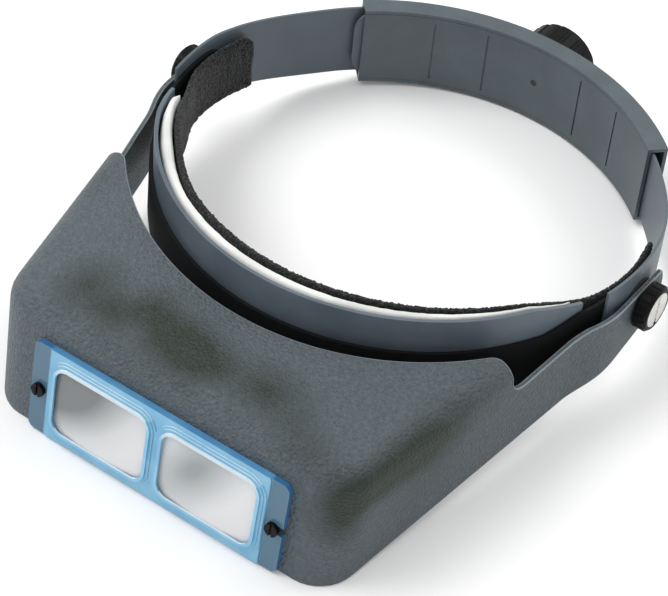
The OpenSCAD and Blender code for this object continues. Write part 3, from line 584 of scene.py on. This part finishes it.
# %% The other softened solids
# The edge finishes of these copies are painted highlights, and the carrier's a painted glint
soften("housing_shell", "rear_housing", housing_abs, 0.3, housing_edge_highlight)
soften("housing_liner", "rear_housing", housing_abs, 0.2)
soften("trim_band", "headband", trim_pvc, 0.35, trim_edge_highlight)
soften("carrier_band", "headband", carrier_pe, 0.35, carrier_edge_glint)
soften("rear_knob", "rear_knob", knob_abs, 0.35)
soften("knob_cap", "rear_knob", knob_abs, 0.3)
for side in ("left", "right"):
    soften("pivot_knob_" + side, "pivot_knob_" + side, knob_abs, 0.25)
    soften("pivot_cap_" + side, "pivot_knob_" + side, nickel, 0.2)
    soften("lens_screw_" + side, "lens_screw_" + side, black_steel, 0.15)

# %% [markdown]
# The small metal pieces, the pinion and the lenses already have the right form, so these
# CAD solids stay and only get their finish.

# %% Finishes of the solids that stay
kept = {
    "lens_left": glass_left,
    "lens_right": glass_right,
    "lens_inserts": brass,
    "strap_rivets": nickel,
    "pivot_bolts": nickel,
    "pivot_bushes": nickel,
    "friction_washers": fibre,
    "wave_washers": nickel,
    "knob_washer": nickel,
    "pinion": nylon,
    "knob_screw": nickel,
}
for name, material in kept.items():
    for material_slot in nodes[name].material_slots:
        material_slot.material = material
print("kept solids:", len(kept))

# %% [markdown]
# ## Curves of the band
# Seen from above, the space for the head is an oval of four arcs that run into each other:
# a wide one at the brow, a wide one at the back and a tighter one at each temple. Every
# band follows it at its own distance. These functions give the distance from the middle for
# a direction, as on a clock face: -90 degrees is the brow and 0 is the wearer's left temple.

# %% The oval and the layers round it
# Half the width, and the reach ahead and behind, of the space for the head and of the carrier
HEAD_HALF, HEAD_FRONT, HEAD_REAR, SIDE_R = 84.2, 76.8, 80.0, 50.0
SHELL_HALF, SHELL_FRONT = 86.5, 87.2


def arc_radius(e, depth):
    return (e * e + depth * depth - SIDE_R * SIDE_R) / (2 * (depth - SIDE_R))


head_e, shell_e = HEAD_HALF - SIDE_R, SHELL_HALF - SIDE_R
front_r = arc_radius(head_e, HEAD_FRONT)
front_c = front_r - HEAD_FRONT
rear_r = arc_radius(head_e, HEAD_REAR)
rear_c = HEAD_REAR - rear_r
shell_r = arc_radius(shell_e, SHELL_FRONT)
shell_c = shell_r - SHELL_FRONT


def on_arc(c, r, a):
    return c * math.sin(a) + math.sqrt(r * r - (c * math.cos(a)) ** 2)


def on_side(e, r, a):
    return e * math.cos(a) + math.sqrt(r * r - (e * math.sin(a)) ** 2)


def meeting(e, c, r):
    d = math.hypot(e, c)
    return math.atan2(c - r * c / d, r * e / d)


def folded(a):
    """Both sides are alike: a direction on the wearer's right becomes the one on the left."""
    return -math.pi - a if a < -math.pi / 2 else a


def head_rho(a, off):
    a = folded(a)
    if a < meeting(head_e, front_c, front_r):
        return on_arc(front_c, front_r + off, a)
    if a < meeting(head_e, rear_c, rear_r):
        return on_side(head_e, SIDE_R + off, a)
    return on_arc(rear_c, rear_r + off, a)


def smooth(t):
    """Rises from 0 to 1 with a soft start and a soft end."""
    t = min(1.0, max(0.0, t))
    return t * t * (3 - 2 * t)


print("oval arcs: brow", round(front_r, 2), "rear", round(rear_r, 2), "carrier", round(shell_r, 2), "mm")

# %% [markdown]
# ## Visor
# The visor is one moulding with an even wall of 1.8 mm: a front wall that leans back, a top
# panel, side walls and two arms. It could be carved from a solid, but a real wall is even, so
# it is shaped as a thin sheet that gets its thickness later. A cube is tapered, its floor and
# back are taken off, and its corners are bevelled round.

# %% Sheet form of the visor
# Seen from the pivots: how far ahead the front edge lies, how far down, the height, half the width
REACH, DROP, HIGH, HALF_W = 137.0, 35.5, 44.6, 66.4
SPLAY, LEAN, RISE = math.radians(10.9), math.radians(6.6), math.radians(5.5)
WALL, PANEL_BACK = 1.8, 62.0
# The arms leave the side walls at ARM_ROOT and run straight from ARM_FLAT on, ARM_OUT wide
ARM_ROOT, ARM_FLAT, ARM_OUT, ARM_R = -36.0, -13.0, 91.4, 12.8
FRONT_CORNER_R, TOP_EDGE_R, SHEET_FLOOR = 11.5, 7.2, -50.0


def front_y(z):
    return -REACH + (z + DROP) * math.tan(LEAN)


def wall_x(y):
    return HALF_W + (y + REACH) * math.tan(SPLAY)


def panel_z(y):
    return HIGH - DROP + (y - front_y(HIGH - DROP)) * math.tan(RISE)


def arm_x(y):
    return wall_x(y) + (ARM_OUT - wall_x(y)) * smooth((y - ARM_ROOT) / (ARM_FLAT - ARM_ROOT))


clear()
bpy.ops.mesh.primitive_cube_add(size=2)
visor = bpy.context.object
for v in visor.data.vertices:
    z = HIGH - DROP if v.co.z > 0 else SHEET_FLOOR
    y = front_y(z) if v.co.y < 0 else ARM_ROOT
    x = wall_x(y)
    v.co = (math.copysign(x, v.co.x), y, panel_z(y) if v.co.z > 0 else z)
bpy.ops.object.mode_set(mode="EDIT")
pick("FACE", lambda p, f: p.z < SHEET_FLOOR + 10 or p.y > ARM_ROOT - 1)
bpy.ops.mesh.delete(type="FACE")
# The two upright front corners, then all round the top panel except its back
pick("EDGE", lambda p, e: p.y < -120 and abs(p.x) > 60)
bpy.ops.mesh.bevel(offset=FRONT_CORNER_R, segments=8, affect="EDGES")
panel_low = HIGH - DROP - 0.2
pick(
    "EDGE",
    lambda p, e: all(v.co.z > panel_low for v in e.verts) and not all(v.co.y > ARM_ROOT - 1 for v in e.verts),
)
bpy.ops.mesh.bevel(offset=TOP_EDGE_R, segments=6, affect="EDGES")
bpy.ops.object.mode_set(mode="OBJECT")
print("visor sheet:", len(visor.data.vertices), "points")

# %% [markdown]
# The arms are the side walls carried on to the back. They could be pieces of their own, but
# they belong to the moulding, so the open edge of each wall is pulled back in short steps, and
# each step is widened a little, which makes the soft bend out to the pivots. Solidify then
# gives the wall its thickness, toward the inside.

# %% Arms pulled out of the side walls
bpy.ops.object.mode_set(mode="EDIT")
found = pick(
    "EDGE",
    lambda p, e: e.is_boundary and p.y > ARM_ROOT - 0.5 and abs(p.x) > 84 and e.calc_length() > 30,
)
BEND_STEPS = 12
stations = [ARM_ROOT + i * (ARM_FLAT - ARM_ROOT) / BEND_STEPS for i in range(BEND_STEPS + 1)]
stations += [0.0, ARM_R + 2]
for before, here in zip(stations, stations[1:]):
    bpy.ops.mesh.extrude_region_move(TRANSFORM_OT_translate={"value": (0, here - before, 0)})
    ratio = arm_x(here) / arm_x(before)
    bpy.ops.transform.resize(value=(ratio, 1, 1), center_override=(0, 0, 0))
bpy.ops.object.mode_set(mode="OBJECT")
outward(visor)
# An open sheet can come out facing inward, so its largest level face is checked
top_face = max(visor.data.polygons, key=lambda f: f.area if abs(f.normal.z) > 0.9 else 0)
if top_face.normal.z < 0:
    visor.data.flip_normals()
modify(visor, "SOLIDIFY", thickness=WALL, offset=-1, use_even_offset=True, use_quality_normals=True)
print("arms from", found, "edges; visor wall", WALL, "mm")


# %% [markdown]
# The outline seen from the side is drawn once as a flat face: the rim that stands on the
# floor, its climb to the pivot, the round arm end, and the neck up to the top panel. Each side
# could be trimmed by hand, but pulled through the whole width, the outline is a cutter that
# gives both sides their shape at once.


# %% Side outline
def cut(obj, tool, operation="DIFFERENCE"):
    modify(obj, "BOOLEAN", object=tool, operation=operation, solver="EXACT")
    mesh = tool.data
    bpy.data.objects.remove(tool)
    bpy.data.meshes.remove(mesh)


def prism(outline, width):
    """A side view outline of (y, z) points, pulled out along X."""
    clear()
    bpy.ops.mesh.primitive_circle_add(vertices=len(outline), radius=10, fill_type="NGON")
    tool = bpy.context.object
    for v, (y, z) in zip(tool.data.vertices, outline):
        v.co = (-width / 2, y, z)
    bpy.ops.object.mode_set(mode="EDIT")
    bpy.ops.mesh.select_all(action="SELECT")
    bpy.ops.mesh.extrude_region_move(TRANSFORM_OT_translate={"value": (width, 0, 0)})
    bpy.ops.object.mode_set(mode="OBJECT")
    return outward(tool)


def ark(centre, radius, start, end, count):
    """Points of an arc, from one angle to another in degrees, both ends among them."""
    steps = [math.radians(start + (end - start) * i / count) for i in range(count + 1)]
    return [(centre[0] + radius * math.cos(a), centre[1] + radius * math.sin(a)) for a in steps]


# The rim has a knee below the arms, and FAR and ABOVE lie outside the visor
KNEE_Y, KNEE_Z, NECK_H, HEEL, NECK_R = -40.0, -17.0, 24.0, 5.4, 5.0
FAR, ABOVE = 160.0, 60.0
rim_slope = (DROP + KNEE_Z) / (REACH + KNEE_Y)
neck_z = KNEE_Z - (PANEL_BACK + KNEE_Y) * rim_slope + NECK_H
rim_a = math.degrees(math.atan((PIVOT_Z - ARM_R - KNEE_Z) / -KNEE_Y))
neck_a = math.degrees(math.atan((PIVOT_Z + ARM_R - neck_z) / PANEL_BACK))
neck_turn = math.radians(neck_a)
heel = front_y(-DROP) + HEEL
fillet_z = neck_z + NECK_R * math.tan(neck_turn) + NECK_R / math.cos(neck_turn)
outline = [
    (-FAR, -DROP - (FAR - REACH) * math.tan(tilt)),
    (heel, -DROP + (heel + REACH) * math.tan(tilt)),
    (KNEE_Y, KNEE_Z),
]
outline += ark((0.0, PIVOT_Z), ARM_R, rim_a - 90, 90 + neck_a, 40)
outline += ark((-PANEL_BACK + NECK_R, fillet_z), NECK_R, 270 + neck_a, 180, 8)
outline += [(-PANEL_BACK, ABOVE), (-FAR, ABOVE)]
cut(visor, prism(outline, 260.0), "INTERSECT")
print("side outline:", len(outline), "points")

# %% [markdown]
# Three more cuts follow. Seen from above, the top panel ends in a hollow curve that leaves
# room for the band, with a small radius where it meets the straight ends. Its outline is drawn
# like the one from the side, and the block made of it is stood on end. The pivot holes go
# through both arms at once, and a rounded block opens the window behind the lens plate.

# %% Rear curve, pivot holes and window
CURVE_R, CORNER_R, PAST_REAR = 96.0, 6.0, -30.0
corner_x = math.sqrt((CURVE_R + CORNER_R) ** 2 - (PANEL_BACK + CORNER_R) ** 2)
meet_a = math.degrees(math.atan2(corner_x, PANEL_BACK + CORNER_R))
half = ark((-PANEL_BACK - CORNER_R, corner_x), CORNER_R, 0, -meet_a, 5)
half = [(PAST_REAR, corner_x)] + half + ark((0.0, 0.0), CURVE_R, 180 - meet_a, 180, 45)[1:]
plan = half + [(y, -x) for y, x in reversed(half[:-1])]
drum = prism(plan, 160.0)
drum.data.transform(Matrix.Rotation(-math.pi / 2, 4, "Y"))
cut(visor, drum)

clear()
bpy.ops.mesh.primitive_cylinder_add(
    vertices=40, radius=3.6, depth=240, location=(0, 0, PIVOT_Z), rotation=(0, math.pi / 2, 0)
)
cut(visor, bpy.context.object)

WINDOW, WINDOW_UP, WINDOW_R = (83, 20, 29.2), 17.6, 3
clear()
bpy.ops.mesh.primitive_cube_add(size=1)
window = bpy.context.object
window.scale = WINDOW
window.rotation_euler = (-LEAN, 0, 0)
window.location = (0, front_y(-DROP + WINDOW_UP), -DROP + WINDOW_UP)
bpy.ops.object.transform_apply(location=True, rotation=True, scale=True)
modify(window, "BEVEL", width=WINDOW_R, segments=4, limit_method="NONE")
cut(visor, window)
print("visor cut:", len(visor.data.polygons), "faces")

# %% [markdown]
# Behind the front wall stand two hollow bosses for the brass inserts of the lens screws. Each
# is a cylinder whose end is inset and pushed in. They could be united with the wall by a
# Boolean, but no eye sees the seam, so they are only joined to it at the end.

# %% Screw bosses
SCREW_X, SCREW_UP, BOSS_R, BOSS_H, BOSS_WALL, BOSS_DEPTH = 46.0, 17.3, 4.2, 4.6, 1.55, 3.9
on_front = Matrix.Translation((0, -REACH, -DROP)) @ Matrix.Rotation(-LEAN, 4, "X")
bosses = []
for x in (-SCREW_X, SCREW_X):
    clear()
    bpy.ops.mesh.primitive_cylinder_add(vertices=48, radius=BOSS_R, depth=BOSS_H)
    boss = bpy.context.object
    bpy.ops.object.mode_set(mode="EDIT")
    pick("FACE", lambda p, f: p.z > 1)
    bpy.ops.mesh.inset(thickness=BOSS_WALL)
    bpy.ops.mesh.extrude_region_move(TRANSFORM_OT_translate={"value": (0, 0, -BOSS_DEPTH)})
    bpy.ops.object.mode_set(mode="OBJECT")
    boss_place = Matrix.Translation((x, WALL + 1.7, SCREW_UP)) @ Matrix.Rotation(-math.pi / 2, 4, "X")
    boss.data.transform(on_front @ boss_place)
    bosses.append(boss)
print("bosses:", len(bosses), "of", 2 * BOSS_R, "mm")

# %% [markdown]
# The rim of the visor catches a thin line of light, and a painted highlight stands for it: the
# bevel that rounds the rim puts a second, paler finish on its faces. Two things would spoil that
# bevel. The cuts left tiny edges, and Blender clamps a bevel to the shortest edge that it meets,
# so near points are merged first. The large flat faces have a hundred corners, and a moved
# corner can fold such a face over, so the shell is split into strips before. The strips' planes
# lie a little off the round numbers, where they miss the points of the outlines. Faces that the
# bevel closes to a line are dissolved.

# %% Painted highlight on the rims and the visor's place
RIM_R, STRIP, OFF_ROUND, NEAR, LINE_THIN = 0.45, 22, 0.137, 0.3, 0.05
for finish_of_visor in (visor_abs, visor_rim_highlight):
    visor.data.materials.append(finish_of_visor)
only(visor)
bpy.ops.object.mode_set(mode="EDIT")
for i in range(-3, 4):
    bpy.ops.mesh.select_all(action="SELECT")
    bpy.ops.mesh.bisect(plane_co=(i * STRIP + OFF_ROUND, 0, 0), plane_no=(1, 0, 0))
bpy.ops.mesh.select_all(action="SELECT")
bpy.ops.mesh.remove_doubles(threshold=NEAR)
bpy.ops.object.mode_set(mode="OBJECT")
modify(
    visor,
    "BEVEL",
    width=RIM_R,
    segments=3,
    limit_method="ANGLE",
    angle_limit=math.radians(50),
    use_clamp_overlap=True,
    material=1,
)
bpy.ops.object.mode_set(mode="EDIT")
bpy.ops.mesh.select_all(action="SELECT")
bpy.ops.mesh.dissolve_degenerate(threshold=LINE_THIN)
only(visor)
for boss in bosses:
    boss.select_set(True)
bpy.context.view_layer.objects.active = visor
bpy.ops.object.join()
settle(visor, "visor_moulding", "visor", None, "visor_plastic", "visor")
# Faces that carry the rim's painted highlight
print("rim faces with painted highlight:", sum(f.material_index == 1 for f in visor.data.polygons))

# %% [markdown]
# ## Straps
# Each strap is a flat strip of polyethylene, 1 mm thick, punched out and then bent round.
# A curve with a profile could give its bend, but not its changing height. So it is first a
# flat grid, and each column of the grid is then laid at its place along the band: outside the
# carrier at the temple, then easing into its own layer in the rear housing. The rows spread
# between the strap's lower and upper edge, and they close in at the rounded tip. Solidify and a
# bevel finish it. Its front lies on the headband and its rear in the housing, but it is drawn
# in one place and hung on no body.

# %% Strap path
# The carrier's thickness, its gap to the strap, and the strap's thickness and full height
CARRIER_T, STRAP_GAP, STRAP_T, STRAP_H = 1.1, 0.3, 1.0, 28.0
# Half the housing's width, and how far outside the head's curve each strap runs in it
HOUSING_HALF, INNER, OUTER = 58.8, 1.7, 4.5
HOUSING_A = math.asin(HOUSING_HALF / rear_r)
strap_x = SHELL_HALF + CARRIER_T + STRAP_GAP


def outside(a):
    r = shell_r + CARRIER_T + STRAP_GAP
    if a < meeting(shell_e, shell_c, r):
        return on_arc(shell_c, r, a)
    return on_side(shell_e, SIDE_R + CARRIER_T + STRAP_GAP, a)


def strap_rho(a, layer):
    """The distance of the strap's inner face, which eases into its layer behind the temple."""
    start = math.radians(8)
    if a < start:
        return outside(a)
    at = [on_arc(rear_c, rear_r + layer, b) for b in (start, a)]
    share = smooth((a - start) / (math.pi / 2 - HOUSING_A - math.radians(10)))
    return outside(start) + (at[0] - outside(start)) * share + at[1] - at[0]


print("strap at the pivots:", round(strap_x, 2), "mm from the middle")

# %% Strap edges and straps
# The tip's radius, and between which Y the blend from the headband to the housing lies
TIP_R, BLEND_FROM, BLEND_TO = 8, 18, 47
# Between which Y the strap gets its full height, and its lower edge and climb at the pivot
WIDEN_FROM, WIDEN_TO, FRONT_LOW, FRONT_RISE = 2, 51.6, PIVOT_Z - 12, 5


def strap_edges(y, left_to_tip):
    climb = smooth((WIDEN_TO - y) / (WIDEN_TO - WIDEN_FROM))
    low = -STRAP_H / 2 + climb * (FRONT_LOW + STRAP_H / 2)
    high = STRAP_H / 2 + climb * FRONT_RISE
    if left_to_tip < TIP_R:
        inset = TIP_R - math.sqrt(max(0.0, TIP_R**2 - (TIP_R - left_to_tip) ** 2))
        low, high = low + inset, high - inset
    return low, high


def strap(name, layer, tip_a, side, node):
    """One strap: side is 1 for the wearer's left and -1 for the right."""
    columns, rows = 150, 12
    front_a = -math.asin(BLEND_FROM / strap_x)
    clear()
    bpy.ops.mesh.primitive_grid_add(x_subdivisions=columns, y_subdivisions=rows, size=2)
    strip = bpy.context.object
    for v in strip.data.vertices:
        along, up = (v.co.x + 1) / 2, (v.co.y + 1) / 2
        # Columns crowd together at the tip, so that its corners come out round
        along = 1 - (1 - along) ** 1.5
        a = front_a + (tip_a - front_a) * along
        rho = strap_rho(a, layer) + STRAP_T / 2
        low, high = strap_edges(rho * math.sin(a), (tip_a - a) * rho)
        v.co = (side * rho * math.cos(a), rho * math.sin(a), low + (high - low) * up)
    modify(strip, "SOLIDIFY", thickness=STRAP_T, offset=0, use_even_offset=True)
    outward(strip)
    modify(strip, "BEVEL", width=0.3, segments=2, limit_method="ANGLE", angle_limit=math.radians(50))
    settle(strip, name, None, strap_pe, "strap_plastic", node)
    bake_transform(strip)


strap("strap_left_bent", INNER, math.pi / 2 + HOUSING_A + 6 / 80, 1, "strap_left")
strap("strap_right_bent", OUTER, math.pi / 2 + HOUSING_A - math.radians(6), -1, "strap_right")

# %% [markdown]
# ## Padding
# The foam and the sweatband are thin soft strips glued to stiff bands, with no cushion that a
# cloth simulation could settle. So they are lofted: a closed cross-section is repeated along
# the curve and its shape changes on the way. A section with full sides and tight rounded edges
# reads as cloth over padding, and small steady pushes along the normals break its surface.


# %% Loft helper
def loft(name, sections):
    """Joins closed sections of equal size into one skin and closes both ends."""
    mesh = bmesh.new()
    rings = [[mesh.verts.new(p) for p in section] for section in sections]
    for ring, after in zip(rings, rings[1:]):
        for i in range(len(ring)):
            j = (i + 1) % len(ring)
            mesh.faces.new((ring[i], ring[j], after[j], after[i]))
    for ring in (rings[0], rings[-1]):
        centre = mesh.verts.new(sum((v.co for v in ring), Vector()) / len(ring))
        for i in range(len(ring)):
            mesh.faces.new((ring[i], ring[(i + 1) % len(ring)], centre))
    bmesh.ops.recalc_face_normals(mesh, faces=mesh.faces)
    data = bpy.data.meshes.new(name)
    mesh.to_mesh(data)
    mesh.free()
    obj = bpy.data.objects.new(name, data)
    bpy.context.collection.objects.link(obj)
    return obj


def roughen(obj, depth, size):
    """Pushes each point in or out along its normal by a steady noise, depth and size in mm."""
    pushes = [noise.fractal(v.co / size, 0.8, 2.0, 3) * depth for v in obj.data.vertices]
    normals = [Vector(n.vector) for n in obj.data.vertex_normals]
    for v, normal, push in zip(obj.data.vertices, normals, pushes):
        v.co += normal * push
    return obj


def section(a, inner, thick, low, high, count, power):
    """A closed section with rounded edges, standing at direction a."""
    points = []
    for i in range(count):
        t = 2 * math.pi * i / count
        c, s = math.cos(t), math.sin(t)
        across = math.copysign(abs(c) ** (2 / power), c)
        up = math.copysign(abs(s) ** (2 / power), s)
        rho = inner + thick * (0.5 + across / 2)
        z = (low + high) / 2 + up * (high - low) / 2
        points.append(Vector((rho * math.cos(a), rho * math.sin(a), z)))
    return points


# %% [markdown]
# The sweatband runs from just behind one temple round the brow to the other. It is 3 mm thick at
# the brow and thins out on the way, its upper edge climbs toward the brow, and its ends are
# rounded. In the photograph the foam behind it is fuller toward the wearer's right temple and
# presses it inward there, which both pieces follow.


# %% Sweatband
def sweat_t(a):
    return 1.6 + 1.4 * max(0.0, -math.sin(a)) ** 2


def swell(a):
    """How far the padding stands in, in mm: it grows over 24 degrees and dies out over 13."""
    around = -math.degrees(a)
    return 2.1 * smooth((around - 118) / 24) * smooth((174 - around) / 13)


TEMPLE_TOP, BROW_TOP, BAND_LOW, END_R = 15, 21.5, -8.0, 6
end_a = math.asin(20.0 / HEAD_HALF)
count = 640
rings = []
for i in range(count + 1):
    a = -math.pi / 2 + (2 * i / count - 1) * (math.pi / 2 + end_a)
    inner = head_rho(a, 0)
    high = TEMPLE_TOP + (BROW_TOP - TEMPLE_TOP) * smooth((-inner * math.sin(a) - 15) / 31)
    left = (end_a - folded(a)) * HEAD_HALF
    if left < END_R:
        high -= END_R - math.sqrt(max(0.0, END_R**2 - (END_R - left) ** 2))
    full = sweat_t(a)
    thick = full * min(1.0, 0.35 + left / 1.2)
    rings.append(section(a, inner - swell(a) + (full - thick) / 2, thick, BAND_LOW, high, 116, 5.0))
sweatband = roughen(loft("sweatband", rings), 0.4, 0.6)
settle(sweatband, "sweatband_terry", "headband", terry, "sweatband_black", "sweatband", angle=60)

# %% [markdown]
# The foam is a strip about 5 mm thick at the brow that thins out toward the temples. It fills
# the space between the trim and the sweatband, so both its faces follow theirs, and its top is
# crowned between them.

# %% Brow foam
TRIM_T, PLAY = 1.4, 0.35
half_a = math.radians(70)
count = 220
rings = []
for i in range(count + 1):
    a = -math.pi / 2 + (2 * i / count - 1) * half_a
    inner = head_rho(a, sweat_t(a)) - swell(a) + 0.15
    outer = on_arc(shell_c, shell_r - PLAY - TRIM_T, folded(a))
    left = (half_a - abs(a + math.pi / 2)) * 84
    thick = (outer - inner) * min(1.0, 0.3 + left / 3)
    y = outer * math.sin(a)
    # Toward its ends the top falls by 5 mm and the bottom rises by 14.5 mm
    high = 22.0 - 5.0 * min(1.0, max(0.0, (y + 43.6) / 19.3))
    low = -7.0 + 14.5 * min(1.0, max(0.0, (y + 35.3) / 11.0))
    rings.append(section(a, inner, thick, low, high, 56, 3.2))
foam = roughen(loft("foam", rings), 0.12, 2.5)
settle(foam, "brow_foam_strip", "headband", foam_cell, "foam_white", "brow_foam", angle=60)

# %% [markdown]
# ## Studio
# A pale floor that runs out of sight, a bright plain world, and two large soft lights. Small
# lamps would draw hard shadows and hot spots. Large ones near the object give the soft shadow
# and the broad lines of light of a product photograph.

# %% Floor, world and lights
clear()
bpy.ops.mesh.primitive_plane_add(size=12)
floor = bpy.context.object
floor.name = "studio_floor"
floor.data.materials.append(finish("pale_paper", Roughness=0.9, Base_Color=srgb("#f7f7f7"))[0])

world = bpy.data.worlds.new("soft_sky")
world.use_nodes = True
sky = world.node_tree.nodes["Background"]
sky.inputs["Color"].default_value = (1, 1, 1, 1)
sky.inputs["Strength"].default_value = 0.8
bpy.context.scene.world = world


def softbox(name, location, target, size, power):
    data = bpy.data.lights.new(name, "AREA")
    data.shape = "RECTANGLE"
    data.size, data.size_y = size
    data.energy = power
    light = bpy.data.objects.new(name, data)
    light.location = location
    light.rotation_euler = (Vector(target) - Vector(location)).to_track_quat("-Z", "Y").to_euler()
    bpy.context.collection.objects.link(light)


softbox("key_light", (-1.0, -0.3, 1.5), (0, 0, 0.03), (1.1, 0.9), 16)
softbox("back_light", (0.5, 1.3, 1.2), (0, 0, 0.03), (1.4, 0.8), 10)
bpy.context.scene.view_settings.view_transform = "Standard"
print("lights:", [light.name for light in bpy.data.lights])
